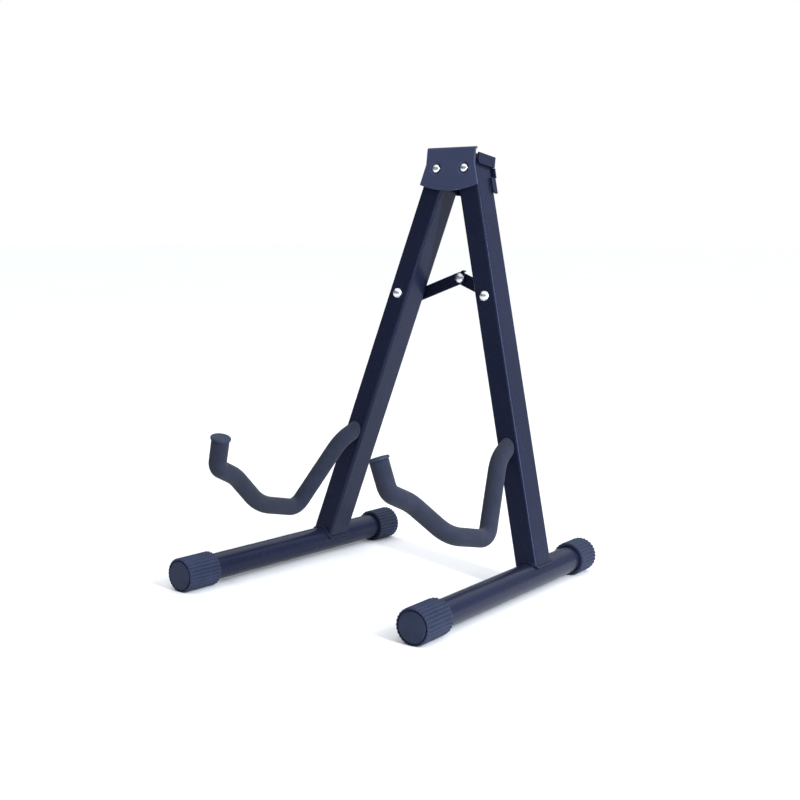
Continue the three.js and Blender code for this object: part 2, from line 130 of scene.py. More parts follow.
def pivot_frame(side):
    return placed(mirrored(PIVOT, side), -FORWARD, HEAD_UP)


def leg_frame(side):
    up = (mirrored(PIVOT, side) - mirrored(LINK_PIVOT, side)).normalized()
    return placed(mirrored(PIVOT, side), -FORWARD, up)


def arm_frame(side):
    """The leg's frame, turned about the leg so that the arm leans in to the middle."""
    return leg_frame(side) @ Matrix.Rotation(-side * ARM_TOE, 4, "Z")


def link_pivot_frame(side):
    return leg_frame(side) @ Matrix.Translation((0, 0, -LINK_DROP))


def link_frame(side):
    """At a link's leg pivot, with +X along the link to the knee."""
    origin = mirrored(LINK_PIVOT, side)
    along = (KNEE - origin).normalized()
    return placed(origin, -FORWARD, along.cross(-FORWARD))


def base_frame(side):
    """On the base tube's axis under its leg, with -Y along the tube to the front."""
    name = "left" if side == LEFT else "right"
    front = Vector(MOUNTS[f"{name}_front_foot"]["pos_m"])
    rear = Vector(MOUNTS[f"{name}_rear_foot"]["pos_m"])
    back = (rear - front).normalized()
    front_reach = (FRONT_REACH - FRONT_CAP_LENGTH / 2) * MM
    origin = front + back * front_reach + Vector((0, 0, CAP_FLAT * MM))
    return placed(origin, back, Vector((0, 0, 1)))


def base_pitch():
    """Angle that the base tube slopes down towards the front, seen along the leg."""
    to_leg = leg_frame(RIGHT).inverted().to_3x3()
    front = (to_leg @ (base_frame(RIGHT).to_3x3() @ Vector((0, -1, 0)))).normalized()
    return math.atan2(-front.z, -front.y)


BASE_PITCH = base_pitch()

# ---- Materials ----------------------------------------------------------------------------


PAINT_GLINT = (0.55, 0.68, 1.0)
# Lighter edge colour and its mask: partly wear, partly a painted highlight along the rounded corners.
WORN_AND_HIGHLIT_EDGE = (0.11, 0.12, 0.17)
WORN_AND_HIGHLIT_WIDTH = 0.9
WORN_AND_HIGHLIT_AMOUNT = 0.5
WORN_AND_HIGHLIT_STARTS, WORN_AND_HIGHLIT_FULL = 0.98, 0.85      # match between the rounded and the true normal


class Finish:
    """A procedural material, built node by node."""

    def __init__(self, name, colour, roughness, metallic=0.0):
        self.material = bpy.data.materials.new(name)
        self.material.use_nodes = True
        self.tree = self.material.node_tree
        self.shader = self.tree.nodes["Principled BSDF"]
        self.shader.inputs["Base Color"].default_value = (*colour, 1)
        self.shader.inputs["Roughness"].default_value = roughness
        self.shader.inputs["Metallic"].default_value = metallic
        self.place = self.node("ShaderNodeTexCoord").outputs["Object"]
        self.normal = None

    def node(self, kind, **settings):
        made = self.tree.nodes.new(kind)
        for key, value in settings.items():
            setattr(made, key, value)
        return made

    def link(self, source, target):
        self.tree.links.new(source, target)

    def noise(self, size_mm, detail=3.0, roughness=0.55):
        made = self.node("ShaderNodeTexNoise")
        made.inputs["Scale"].default_value = 1 / (size_mm * MM)
        made.inputs["Detail"].default_value = detail
        made.inputs["Roughness"].default_value = roughness
        self.link(self.place, made.inputs["Vector"])
        return made.outputs["Fac"]

    def cells(self, size_mm):
        made = self.node("ShaderNodeTexVoronoi")
        made.inputs["Scale"].default_value = 1 / (size_mm * MM)
        self.link(self.place, made.inputs["Vector"])
        return made.outputs["Distance"]

    def ramp(self, source, *stops):
        made = self.node("ShaderNodeValToRGB")
        elements = made.color_ramp.elements
        while len(elements) < len(stops):
            elements.new(0.5)
        for element, (position, colour) in zip(elements, stops):
            element.position = position
            element.color = (*colour, 1) if isinstance(colour, tuple) else (colour,) * 3 + (1,)
        self.link(source, made.inputs["Fac"])
        return made.outputs["Color"]

    def worn_and_highlighted_edges(self, under, lighter_edge, amount):
        """Colour under, with the sharp edges lightened in patches: partly wear, partly a painted highlight along
        the corners.
        """
        rounded = self.node("ShaderNodeBevel", samples=6)
        rounded.inputs["Radius"].default_value = WORN_AND_HIGHLIT_WIDTH * MM
        facing = self.node("ShaderNodeNewGeometry").outputs["Normal"]
        match = self.node("ShaderNodeVectorMath", operation="DOT_PRODUCT")
        self.link(rounded.outputs["Normal"], match.inputs[0])
        self.link(facing, match.inputs[1])
        lightened = self.node("ShaderNodeMapRange")
        for socket, value in zip(("From Min", "From Max", "To Min", "To Max"),
                                 (WORN_AND_HIGHLIT_STARTS, WORN_AND_HIGHLIT_FULL, 0.0, amount)):
            lightened.inputs[socket].default_value = value
        self.link(match.outputs["Value"], lightened.inputs["Value"])
        patchy = self.node("ShaderNodeMath", operation="MULTIPLY")
        self.link(lightened.outputs["Result"], patchy.inputs[0])
        self.link(self.noise(6, 5), patchy.inputs[1])
        mix = self.node("ShaderNodeMix", data_type="RGBA")
        self.link(patchy.outputs["Value"], mix.inputs[0])
        self.link(under, mix.inputs[6])
        mix.inputs[7].default_value = (*lighter_edge, 1)
        return mix.outputs[2]

    def colour(self, source):
        self.link(source, self.shader.inputs["Base Color"])

    def roughness(self, source, low, high):
        made = self.node("ShaderNodeMapRange")
        made.inputs["To Min"].default_value = low
        made.inputs["To Max"].default_value = high
        self.link(source, made.inputs["Value"])
        self.link(made.outputs["Result"], self.shader.inputs["Roughness"])

    def bump(self, source, depth_mm, strength):
        made = self.node("ShaderNodeBump")
        made.inputs["Distance"].default_value = depth_mm * MM
        made.inputs["Strength"].default_value = strength
        self.link(source, made.inputs["Height"])
        if self.normal:
            self.link(self.normal, made.inputs["Normal"])
        self.normal = made.outputs["Normal"]
        self.link(self.normal, self.shader.inputs["Normal"])


def powder_coat(name, dark, light, sheen_low, sheen_high, weld=False):
    """Semi-gloss blue-black powder coat: fine orange peel, faint mottling, a few dull scuffs
    and edges painted a little lighter, partly as wear and partly as a painted highlight."""
    finish = Finish(name, light, sheen_low)
    mottled = finish.ramp(finish.noise(60, 2), (0.25, dark), (0.75, light))
    # Edges painted lighter: partly wear, partly a painted highlight on the corners.
    finish.colour(finish.worn_and_highlighted_edges(mottled, WORN_AND_HIGHLIT_EDGE, WORN_AND_HIGHLIT_AMOUNT))
    scuffs = finish.noise(9, 6, 0.7)
    finish.roughness(finish.ramp(scuffs, (0.52, 0.0), (0.95, 1.0)), sheen_low, sheen_high)
    finish.bump(finish.noise(1.3, 2), 0.012, 0.3)
    finish.bump(finish.noise(0.4, 1), 0.008, 0.3)
    if weld:
        finish.bump(finish.noise(2.2, 4), 0.5, 0.8)
    finish.shader.inputs["Specular IOR Level"].default_value = 0.16
    finish.shader.inputs["Specular Tint"].default_value = (*PAINT_GLINT, 1)
    return finish.material


def foam_sleeve():
    """Closed-cell foam: matt, finely pitted, a little worn."""
    finish = Finish("foam_sleeve", (0.036, 0.04, 0.06), 0.9)
    blotch = finish.noise(14, 4, 0.6)
    finish.colour(finish.ramp(
        blotch, (0.3, (0.008, 0.0108, 0.023)), (0.72, (0.0122, 0.0156, 0.032))))
    finish.roughness(finish.noise(4, 3), 0.78, 0.98)
    finish.bump(finish.cells(0.8), 0.16, 0.45)
    finish.bump(finish.noise(2.6, 5, 0.65), 0.22, 0.4)
    finish.shader.inputs["Sheen Weight"].default_value = 0.06
    finish.shader.inputs["Sheen Roughness"].default_value = 0.5
    finish.shader.inputs["Specular IOR Level"].default_value = 0.25
    return finish.material


def cap_rubber():
    """Moulded rubber: matt with a fine spark-eroded grain."""
    finish = Finish("cap_rubber", (0.022, 0.026, 0.048), 0.6)
    finish.colour(finish.ramp(
        finish.noise(11, 4), (0.32, (0.0115, 0.0152, 0.0325)), (0.7, (0.017, 0.022, 0.045))))
    finish.roughness(finish.noise(3, 4), 0.48, 0.72)
    finish.bump(finish.noise(0.5, 3), 0.05, 0.4)
    finish.shader.inputs["Specular IOR Level"].default_value = 0.35
    finish.shader.inputs["Specular Tint"].default_value = (*PAINT_GLINT, 1)
    return finish.material


def bright_rivet():
    """Plated steel, softly hammered where the head was set."""
    finish = Finish("bright_rivet", (0.82, 0.84, 0.88), 0.2, 1.0)
    finish.colour(finish.ramp(
        finish.noise(3, 4), (0.3, (0.74, 0.77, 0.84)), (0.7, (0.86, 0.88, 0.93))))
    finish.roughness(finish.noise(1.2, 5, 0.7), 0.24, 0.4)
    finish.bump(finish.noise(2.4, 3), 0.12, 0.35)
    return finish.material


def black_nylon():
    finish = Finish("black_nylon", (0.012, 0.013, 0.018), 0.5)
    finish.colour(finish.ramp(
        finish.noise(6, 3), (0.35, (0.010, 0.011, 0.016)), (0.7, (0.017, 0.018, 0.025))))
    finish.roughness(finish.noise(2.5, 4), 0.38, 0.6)
    finish.bump(finish.noise(0.6, 3), 0.03, 0.35)
    return finish.material


LEG_SHADES = ((0.0078, 0.0094, 0.0225), (0.0098, 0.0118, 0.0275))
PLATE_SHADES = ((0.031, 0.038, 0.076), (0.041, 0.047, 0.09))
LEG_SHEEN = (0.26, 0.38)
PLATE_SHEEN = (0.4, 0.5)
PAINT = powder_coat("powder_coat", *LEG_SHADES, *LEG_SHEEN)
WELD_PAINT = powder_coat("powder_coat_on_weld", *LEG_SHADES, *LEG_SHEEN, weld=True)
PLATE_PAINT = powder_coat("powder_coat_on_sheet", *PLATE_SHADES, *PLATE_SHEEN)
FOAM = foam_sleeve()
RUBBER = cap_rubber()
ZINC = bright_rivet()
NYLON = black_nylon()
BODY_OF = {
    node: body
    for body, nodes in frame["record"]["behaviour"]["bodies"].items()
    for node in nodes
}

# ---- Mesh helpers -------------------------------------------------------------------------


def piece(name, bm, matrix, material, node=None, body=None, bevel=0.0):
    """Turns a bmesh into an object in the row frame that stands for a CAD node."""
    bmesh.ops.recalc_face_normals(bm, faces=bm.faces)
    bm.transform(matrix)
    mesh = bpy.data.meshes.new(name)
    bm.to_mesh(mesh)
    bm.free()
    mesh.shade_smooth()
    mesh.set_sharp_from_angle(angle=math.radians(40))
    mesh.materials.append(material)
    obj = bpy.data.objects.new(name, mesh)
    bpy.context.scene.collection.objects.link(obj)
    if bevel:
        edge = obj.modifiers.new("rounded_edges", "BEVEL")
        edge.width = bevel * MM
        edge.segments = 3
        edge.limit_method = "ANGLE"
        edge.angle_limit = math.radians(50)
    shading = obj.modifiers.new("shading", "WEIGHTED_NORMAL")
    shading.keep_sharp = True
    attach(obj, body or BODY_OF[node])
    if node:
        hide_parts(node)
    return obj


def fused(*parts):
    """One closed body made of overlapping ones."""
    objects = []
    for part in parts:
        bmesh.ops.recalc_face_normals(part, faces=part.faces)
        mesh = bpy.data.meshes.new("fusing")
        part.to_mesh(mesh)
        part.free()
        obj = bpy.data.objects.new("fusing", mesh)
        bpy.context.scene.collection.objects.link(obj)
        objects.append(obj)
    base = objects[0]
    for other in objects[1:]:
        join = base.modifiers.new("join", "BOOLEAN")
        join.operation = "UNION"
        join.solver = "EXACT"
        join.object = other
    bpy.context.view_layer.update()
    depsgraph = bpy.context.evaluated_depsgraph_get()
    result = bmesh.new()
    result.from_mesh(base.evaluated_get(depsgraph).to_mesh())
    for obj in objects:
        bpy.data.objects.remove(obj)
    bmesh.ops.remove_doubles(result, verts=result.verts, dist=0.002)
    return result


def shell(outer, inner):
    """A closed sheet between two grids of points of the same size."""
    bm = bmesh.new()
    grids = [[[bm.verts.new(point) for point in row] for row in grid] for grid in (outer, inner)]
    rows, columns = len(outer) - 1, len(outer[0]) - 1
    for a in grids:
        for r in range(rows):
            for c in range(columns):
                bm.faces.new((a[r][c], a[r + 1][c], a[r + 1][c + 1], a[r][c + 1]))
    rim = [(r, 0) for r in range(rows)] + [(rows, c) for c in range(columns)]
    rim += [(r, columns) for r in range(rows, 0, -1)] + [(0, c) for c in range(columns, 0, -1)]
    front, back = grids
    for (r0, c0), (r1, c1) in zip(rim, rim[1:] + rim[:1]):
        bm.faces.new((front[r0][c0], front[r1][c1], back[r1][c1], back[r0][c0]))
    return bm


def loft(rings, closed=False, ends=True):
    """Quads between rings of equal length. closed joins the last ring to the first; otherwise
    ends caps both."""
    bm = bmesh.new()
    made = [[bm.verts.new(point) for point in ring] for ring in rings]
    pairs = list(zip(made, made[1:]))
    if closed:
        pairs.append((made[-1], made[0]))
    for a, b in pairs:
        count = len(a)
        for i in range(count):
            j = (i + 1) % count
            bm.faces.new((a[i], a[j], b[j], b[i]))
    if ends and not closed:
        bm.faces.new(list(reversed(made[0])))
        bm.faces.new(made[-1])
    return bm


def turned(profile, segments=48, closed=False):
    """A solid of revolution about the forward axis, from (radius, distance forward) points.
    A closed profile is a ring's section; an open one starts and ends on the axis."""
    bm = bmesh.new()
    rings = []
    for radius, forward in profile:
        if radius < 1e-6:
            rings.append([bm.verts.new((0, -forward, 0))])
            continue
        rings.append([
            bm.verts.new((radius * math.cos(t), -forward, radius * math.sin(t)))
            for t in (2 * math.pi * i / segments for i in range(segments))
        ])
    pairs = list(zip(rings, rings[1:]))
    if closed:
        pairs.append((rings[-1], rings[0]))
    for a, b in pairs:
        for i in range(segments):
            j = (i + 1) % segments
            corners = [a[i % len(a)], a[j % len(a)], b[j % len(b)], b[i % len(b)]]
            bm.faces.new(list(dict.fromkeys(corners)))
    return bm


def arc(centre, radius, start, end, steps):
    """Points on an arc, angles in degrees."""
    angles = [math.radians(start + (end - start) * i / steps) for i in range(steps + 1)]
    return [(centre[0] + radius * math.cos(t), centre[1] + radius * math.sin(t)) for t in angles]


def rounded_rectangle(width, depth, corner, steps=8):
    x, y = width / 2 - corner, depth / 2 - corner
    return [
        *arc((x, y), corner, 0, 90, steps),
        *arc((-x, y), corner, 90, 180, steps),
        *arc((-x, -y), corner, 180, 270, steps),
        *arc((x, -y), corner, 270, 360, steps),
    ]


def dome(radius, rise, seat, facing, steps=10):
    """Profile of a low dome that faces forward (+1) or backward (-1), from rim to centre."""
    points = []
    for i in range(steps + 1):
        turn = math.pi / 2 * i / steps
        points.append((radius * math.cos(turn), seat + facing * rise * math.sin(turn)))
    points[-1] = (0, points[-1][1])
    return points


def inset(outline, distance):
    """An outline moved inwards. The outline runs anticlockwise."""
    moved = []
    for i, here in enumerate(outline):
        here = Vector(here)
        arrive = (here - Vector(outline[i - 1])).normalized()
        leave = (Vector(outline[(i + 1) % len(outline)]) - here).normalized()
        inward = Vector((-arrive.y - leave.y, arrive.x + leave.x)).normalized()
        stretch = max(inward.dot(Vector((-leave.y, leave.x))), 0.5)
        moved.append(here + inward * (distance / stretch))
    return moved


def slab(outline, back, front):
    """A flat plate with rounded edges. Its outline lists (across, up), anticlockwise as seen
    with up to the top and across to the right."""
    rounding = arc((EDGE, EDGE), EDGE, 270, 180, 3)
    layers = [(margin, back + rise) for margin, rise in rounding]
    layers += [(margin, front - rise) for margin, rise in reversed(rounding)]
    return loft([[(x, -level, z) for x, z in inset(outline, margin)] for margin, level in layers])


# ---- Legs ---------------------------------------------------------------------------------


def cope_height(x, y, radius):
    """Height in the leg frame where a line down the leg at (x, y) meets a cylinder of that
    radius round the base tube's axis."""
    rise = math.sqrt(max(radius * radius - x * x, 0))
    return -LEG_LENGTH + (rise + y * math.sin(BASE_PITCH)) / math.cos(BASE_PITCH)


def leg_tube(side, name):
    outside = rounded_rectangle(LEG_WIDTH, LEG_DEPTH, LEG_CORNER)
    bore_corner = LEG_CORNER - LEG_WALL
    inside = rounded_rectangle(LEG_WIDTH - 2 * LEG_WALL, LEG_DEPTH - 2 * LEG_WALL, bore_corner)
    foot = BASE_RADIUS + GAP
    shoulder = LEG_TOP - 0.4
    rings = [
        [(x, y, cope_height(x, y, foot)) for x, y in outside],
        [(x, y, shoulder) for x, y in outside],
        [(x * 0.975, y * 0.98, LEG_TOP) for x, y in outside],
        [(x, y, LEG_TOP) for x, y in inside],
        [(x, y, cope_height(x, y, foot)) for x, y in inside],
    ]
    piece(f"{name}_leg_tube", loft(rings, closed=True), leg_frame(side), PAINT, f"{name}_leg")


def leg_plug(side, name):
    """Moulded plug: a low crowned cover over the tube end, with its stem inside."""
    crown = 2.0
    cover = [(0.0, GAP), (0.0, 0.9), (0.35, 1.4), (0.9, 1.75), (2.2, crown), (5.5, crown + 0.1)]
    rings = []
    stem = rounded_rectangle(LEG_WIDTH - 3.8, LEG_DEPTH - 3.8, 1.2)
    for z in (5.0, LEG_TOP + GAP):
        rings.append([(x, y, z) for x, y in stem])
    for margin, height in cover:
        corner = max(LEG_CORNER - margin, 0.6)
        outline = rounded_rectangle(LEG_WIDTH - 2 * margin, LEG_DEPTH - 2 * margin, corner)
        rings.append([(x, y, LEG_TOP + min(height, crown)) for x, y in outline])
    piece(f"{name}_leg_end_plug", loft(rings), leg_frame(side), NYLON,
          f"{name}_leg_plug")


def weld_bead(side, name):
    """A rippled fillet round the foot of the leg, where it meets the base tube."""
    outline = rounded_rectangle(LEG_WIDTH, LEG_DEPTH, LEG_CORNER, 10)
    path = []
    count = len(outline)
    for i in range(count):
        (x0, y0), (x1, y1) = outline[i], outline[(i + 1) % count]
        steps = max(1, round(math.hypot(x1 - x0, y1 - y0) / 0.7))
        for k in range(steps):
            t = k / steps
            path.append((x0 + (x1 - x0) * t, y0 + (y1 - y0) * t))
    random.seed(7 + side)
    phase = random.random() * math.tau
    rings = []
    for i, (x, y) in enumerate(path):
        centre = Vector((x * 1.02, y * 1.02, cope_height(x, y, BASE_RADIUS + 0.5)))
        ahead = path[(i + 1) % len(path)]
        behind = path[i - 1]
        along = Vector((ahead[0] - behind[0], ahead[1] - behind[1], 0)).normalized()
        outward = along.cross(Vector((0, 0, 1)))
        lump = noise.noise(centre * 0.35) * 0.35
        radius = WELD_RADIUS + WELD_RIPPLE * math.sin(i * 0.7 / 2.1 * math.tau + phase) + lump
        rings.append([
            centre + (outward * math.cos(t) + Vector((0, 0, 1)) * math.sin(t)) * radius
            for t in (math.tau * k / 10 for k in range(10))
        ])
    piece(f"{name}_foot_weld", loft(rings, closed=True), leg_frame(side), WELD_PAINT,
          body=f"{name}_leg")


# ---- Base tubes and foot caps -------------------------------------------------------------


def base_tube(side, name):
    rear, front = -REAR_REACH + CAP_END + GAP, FRONT_REACH - CAP_END - GAP
    inner = BASE_RADIUS - BASE_WALL
    section = [
        (inner, rear), (BASE_RADIUS - 0.3, rear), (BASE_RADIUS, rear + 0.3),
        (BASE_RADIUS, front - 0.3), (BASE_RADIUS - 0.3, front), (inner, front),
    ]
    piece(f"{name}_floor_tube", turned(section, 96, closed=True), base_frame(side),
          PAINT, f"{name}_base_tube")


def foot_cap(side, name, where, length):
    """Ribbed cap. Its closed end is at y = 0 and its mouth at y = length, before placing."""
    per_rib = 12
    count = CAP_RIBS * per_rib

    def rib(angle):
        wave = 0.5 + 0.5 * math.cos(angle * CAP_RIBS)
        return 1 - (1 - wave) ** 1.8

    def ring(base, ribbing, y):
        points = []
        for i in range(count):
            angle = math.tau * i / count
            radius = base - ribbing * RIB_GROOVE * (1 - rib(angle))
            z = radius * math.sin(angle)
            points.append((radius * math.cos(angle), y, max(z, -CAP_FLAT)))
        return points

    rim = CAP_RADIUS
    mouth = BASE_RADIUS + GAP
    rings = [
        ring(mouth, 0, CAP_END),
        ring(mouth, 0, length - 0.5),
        ring(mouth + 0.4, 0, length),
        ring(rim - 0.7, 0.6, length),
        ring(rim - 0.2, 0.9, length - 0.25),
        ring(rim, 1, length - 0.8),
        ring(rim, 1, length * 0.5),
        ring(rim, 1, 1.6),
        ring(rim - 0.25, 0.9, 0.9),
        ring(rim - 0.8, 0.5, 0.45),
        ring(rim - 1.6, 0, 0.6),
        ring(rim - 1.85, 0, 1.9),
        ring(rim - 2.85, 0, 1.9),
        ring(rim - 3.05, 0, 0.3),
        ring(rim - 3.4, 0, 0.05),
        ring(rim - 4.2, 0, 0.0),
    ]
    turn = Matrix.Identity(4)
    reach = -FRONT_REACH
    if where == "rear":
        turn = Matrix.Rotation(math.pi, 4, "Z")
        reach = REAR_REACH
    matrix = base_frame(side) @ Matrix.Translation((0, reach, 0)) @ turn
    piece(f"{name}_{where}_ribbed_cap", loft(rings), matrix, RUBBER,
          f"{name}_{where}_foot_cap")


# ---- Arms ---------------------------------------------------------------------------------


def arm_line(step):
    """Points down the arm's centre line as (back, up) in the leg frame, about step apart."""
    at = [Vector((-reach, -drop)) for drop, reach, _ in ARM_CORNERS]
    points = [at[0]]

    def straight(end):
        start = points[-1]
        steps = max(1, round((end - start).length / step))
        points.extend([start.lerp(end, (k + 1) / steps) for k in range(steps)])

    for i in range(1, len(at) - 1):
        arrive = (at[i] - at[i - 1]).normalized()
        leave = (at[i + 1] - at[i]).normalized()
        radius = ARM_CORNERS[i][2]
        angle = math.acos(arrive.dot(leave))
        bend = math.copysign(1, arrive.x * leave.y - arrive.y * leave.x)
        start = at[i] - arrive * radius * math.tan(angle / 2)
        centre = start + Vector((-arrive.y, arrive.x)) * bend * radius
        straight(start)
        spoke = start - centre
        steps = max(3, round(radius * angle / step))
        turned_points = []
        for k in range(1, steps + 1):
            t = bend * angle * k / steps
            turned_points.append(centre + Vector((
                spoke.x * math.cos(t) - spoke.y * math.sin(t),
                spoke.x * math.sin(t) + spoke.y * math.cos(t))))
        points.extend(turned_points)
    straight(at[-1])
    return points


def tube_rings(points, radii, sides=56):
    """Rings round a line of (back, up) points, square to it."""
    rings = []
    for i, (point, radius) in enumerate(zip(points, radii)):
        along = (points[min(i + 1, len(points) - 1)] - points[max(i - 1, 0)]).normalized()
        ring = []
        for k in range(sides):
            t = math.tau * k / sides
            out = Vector((-along.y, along.x)) * math.sin(t) * radius
            ring.append(Vector((radius * math.cos(t), point.x + out.x, point.y + out.y)))
        rings.append(ring)
    return rings


def arm_foam(side, name):
    """The sleeve, butted against the leg at its root, with a soft irregular skin."""
    leg_face = -LEG_DEPTH / 2 - GAP
    points = arm_line(1.6)
    tip_way = (points[-1] - points[-2]).normalized()
    points[-1:] = [points[-1] - tip_way * short for short in (0.9, 0.3, 0)]
    random.seed(20 + side)
    drift = Vector((random.random() * 40, random.random() * 40, 0))
    radii = [ARM_FOAM - 0.1 + noise.noise(Vector((i * 0.045, 0, 0)) + drift) * 0.15
             for i in range(len(points))]
    radii[-2] -= 0.25
    radii[-1] -= 0.9
    outer = tube_rings(points, radii)
    bore = tube_rings(points, [ARM_ROD + GAP] * len(points))
    first = next(i for i, ring in enumerate(outer) if max(p.y for p in ring) < leg_face - 1)
    along = (points[first + 1] - points[first]).normalized()

    def slid(ring, plane, scale=1.0):
        """A ring moved along the tube onto a plane in front of the leg."""
        middle = Vector((0, points[first].x, points[first].y))
        moved = []
        for place in ring:
            place = middle + (place - middle) * scale
            share = (plane - place.y) / along.x
            moved.append(place + Vector((0, along.x, along.y)) * share)
        return moved

    rings = [slid(outer[first], leg_face, 0.94), slid(outer[first], leg_face - 0.5)]
    rings += outer[first:]
    rings += list(reversed(bore[first:])) + [slid(bore[first], leg_face)]
    obj = piece(f"{name}_foam_sleeve", loft(rings, closed=True), arm_frame(side), FOAM,
                f"{name}_arm_foam")


def arm_tip_cap(side, name):
    """A moulded disc that closes the end of the sleeve."""
    before, end = ARM_CORNERS[-2:]
    tip = math.atan2(before[0] - end[0], end[1] - before[1])
    matrix = arm_frame(side) @ Matrix.Translation((0, -end[1], -end[0]))
    matrix = matrix @ Matrix.Rotation(-tip, 4, "X")
    profile = [
        (0, 0.05), (ARM_FOAM - 2, 0.05), (ARM_CAP - 0.5, 0.05), (ARM_CAP - 0.12, 0.3),
        (ARM_CAP, 0.8), (ARM_CAP, 1.7), (ARM_CAP - 0.15, 2.15),
        (ARM_CAP - 0.6, 2.45), (ARM_CAP - 1.6, 2.58), (ARM_CAP - 5, 2.6), (0, 2.6),
    ]
    piece(f"{name}_arm_end_cap", turned(profile, 64), matrix, RUBBER,
          f"{name}_arm_tip_cap")


# ---- Head ---------------------------------------------------------------------------------


def plate_half(height, half_top, half_foot):
    """Half width of a head plate at a height."""
    if height > PLATE_KINK:
        return half_top
    share = (PLATE_KINK - height) / (PLATE_KINK - PLATE_FOOT)
    return half_top + (half_foot - half_top) * share


def belly(x, half_foot):
    """Height of the curved lower edge at x."""
    sag = PLATE_FOOT - PLATE_BELLY
    radius = (half_foot * half_foot + sag * sag) / (2 * sag)
    return PLATE_BELLY + radius - math.sqrt(radius * radius - x * x)


def dimple_depth(x, z):
    """How far the front plate is dished in round its rivets."""
    distance = min(math.hypot(x - side * PIVOT_HALF, z) for _, side in SIDES)
    inner, outer = PIVOT_HEAD + 0.3, DIMPLE_RADIUS + 0.3
    share = min(max((outer - distance) / (outer - inner), 0), 1)
    return PRESS_DEPTH * share * share * (3 - 2 * share)


def front_plate():
    """Pressed plate: rolled top lip, flared sides, curved foot and a dimple round each rivet."""
    face = PLATE_SETBACK + PLATE
    inner_bend = LIP_BEND - PLATE
    bend_centre = (face - LIP_BEND, PLATE_TOP - LIP_BEND)
    lip_steps, bend_steps, rows, columns = 4, 8, 64, 96
    outer_path, inner_path = [], []
    for k in range(lip_steps):
        forward = face - LIP + (LIP - LIP_BEND) * k / lip_steps
        outer_path.append((forward, PLATE_TOP))
        inner_path.append((forward, PLATE_TOP - PLATE))
    outer_path += arc(bend_centre, LIP_BEND, 90, 0, bend_steps)
    inner_path += arc(bend_centre, inner_bend, 90, 0, bend_steps)
    flat_top = bend_centre[1]
    for k in range(1, rows + 1):
        height = flat_top + (PLATE_FOOT - flat_top) * k / rows
        outer_path.append((face, height))
        inner_path.append((face - PLATE, height))

    def surface(path, dished):
        grid = []
        for forward, height in path:
            half = plate_half(height, PLATE_HALF_TOP, PLATE_HALF_FOOT)
            share = max((flat_top - height) / (flat_top - PLATE_FOOT), 0) ** 1.5
            row = []
            for column in range(columns + 1):
                across = 2 * column / columns - 1
                sag = belly(across * PLATE_HALF_FOOT, PLATE_HALF_FOOT) - PLATE_FOOT
                x, z = half * across, height + share * sag
                depth = dimple_depth(x, z) if dished else 0
                row.append((x, depth - forward, z))
            grid.append(row)
        return grid

    bm = shell(surface(outer_path, True), surface(inner_path, False))
    piece("front_head_plate", bm, HEAD, PLATE_PAINT, "front_plate", bevel=0.35)


def back_plate():
    """Flat sheet with relief notches, two flanges bent forward beside the leg tops, and two
    tabs bent forward along the open legs."""
    far, near = -PLATE_SETBACK - PLATE, -PLATE_SETBACK
    bend = 2.6
    flat_half = BACK_HALF_TOP - bend - 0.9
    relief = FOLD_STOP_LOW - 0.3
    tab_top = OPEN_STOP_HIGH + 4.4
    tab_flat = OPEN_STOP_INSIDE + PLATE - bend - 0.9
    tilt = leg_frame(RIGHT).to_3x3().normalized()
    sine = abs((HEAD.to_3x3().normalized().inverted() @ tilt @ Vector((1, 0, 0))).z)
    cosine = math.sqrt(1 - sine * sine)

    def along_tab(height):
        return PIVOT_HALF + tab_flat * cosine - (height - tab_flat * sine) * sine / cosine

    foot_half = along_tab(belly(along_tab(PLATE_FOOT), BACK_HALF_FOOT))
    right_side = [
        (flat_half, BACK_TOP),
        (flat_half, relief),
        (BACK_HALF_TOP, relief),
        (BACK_HALF_TOP, PLATE_KINK),
        (plate_half(tab_top, BACK_HALF_TOP, BACK_HALF_FOOT), tab_top),
        (along_tab(tab_top), tab_top),
    ]
    steps = 48
    foot = [foot_half * (1 - 2 * k / steps) for k in range(steps + 1)]
    outline = [
        *right_side,
        *((x, belly(x, BACK_HALF_FOOT)) for x in foot),
        *((-x, z) for x, z in reversed(right_side)),
    ]
    parts = [slab(list(reversed(outline)), far, near)]
    for _, side in SIDES:
        to_head = HEAD.inverted() @ leg_frame(side)
        flange = bent_strip(flat_half - 3, BACK_HALF_TOP, FOLD_STOP_FRONT, bend,
                            lambda s, total: FOLD_STOP_LOW + corner_rise(total - s, 3), BACK_TOP)
        if side == LEFT:
            flange.transform(Matrix.Scale(-1, 4, (1, 0, 0)))
        radius = (PLATE_SETBACK + PLATE + OPEN_STOP_FRONT) / 2
        tab = bent_strip(tab_flat - 3, OPEN_STOP_INSIDE + PLATE, OPEN_STOP_FRONT, bend,
                         lambda s, total: OPEN_STOP_LOW + max(
                             corner_rise(s, radius), corner_rise(total - s, radius)),
                         OPEN_STOP_HIGH)
        if side == LEFT:
            tab.transform(Matrix.Scale(-1, 4, (1, 0, 0)))
        tab.transform(to_head)
        parts += [flange, tab]
    piece("back_head_plate", fused(*parts), HEAD, PAINT, "back_plate")


def corner_rise(distance, radius):
    """How far a rounded corner's edge lies inside the square corner, at a distance from it."""
    if distance >= radius:
        return 0
    reach = radius - max(distance, 0)
    return radius - math.sqrt(radius * radius - reach * reach)


